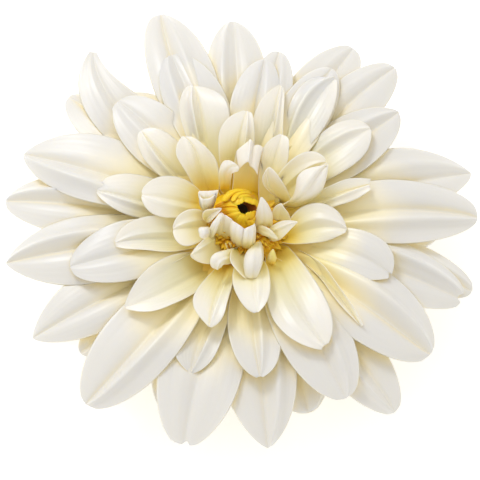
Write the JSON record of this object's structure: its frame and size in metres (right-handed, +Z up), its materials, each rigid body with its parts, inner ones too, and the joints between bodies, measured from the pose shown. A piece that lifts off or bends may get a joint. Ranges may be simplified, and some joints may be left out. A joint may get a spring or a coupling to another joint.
{
  "type": "dahlia flower",
  "caption": "Cream-white decorative dahlia bloom with layered pointed petals, a closed yellow centre and a green calyx, lying face up as picked.",
  "frame": {"origin": "middle of the flat cut face of the stem stub, on the surface that the bloom rests on", "axes": "+Z up along the bloom's axis from the cut stem through the closed centre; -Y is the side that the picture's camera stands on"},
  "size_m": [0.1497, 0.1489, 0.0375],
  "materials": {
    "petal": "satin",
    "floret": "satin",
    "calyx": "matte"
  },
  "bodies": {
    "root": {"petals": "petal", "centre": "floret", "calyx": "calyx"}
  },
  "joints": []
}
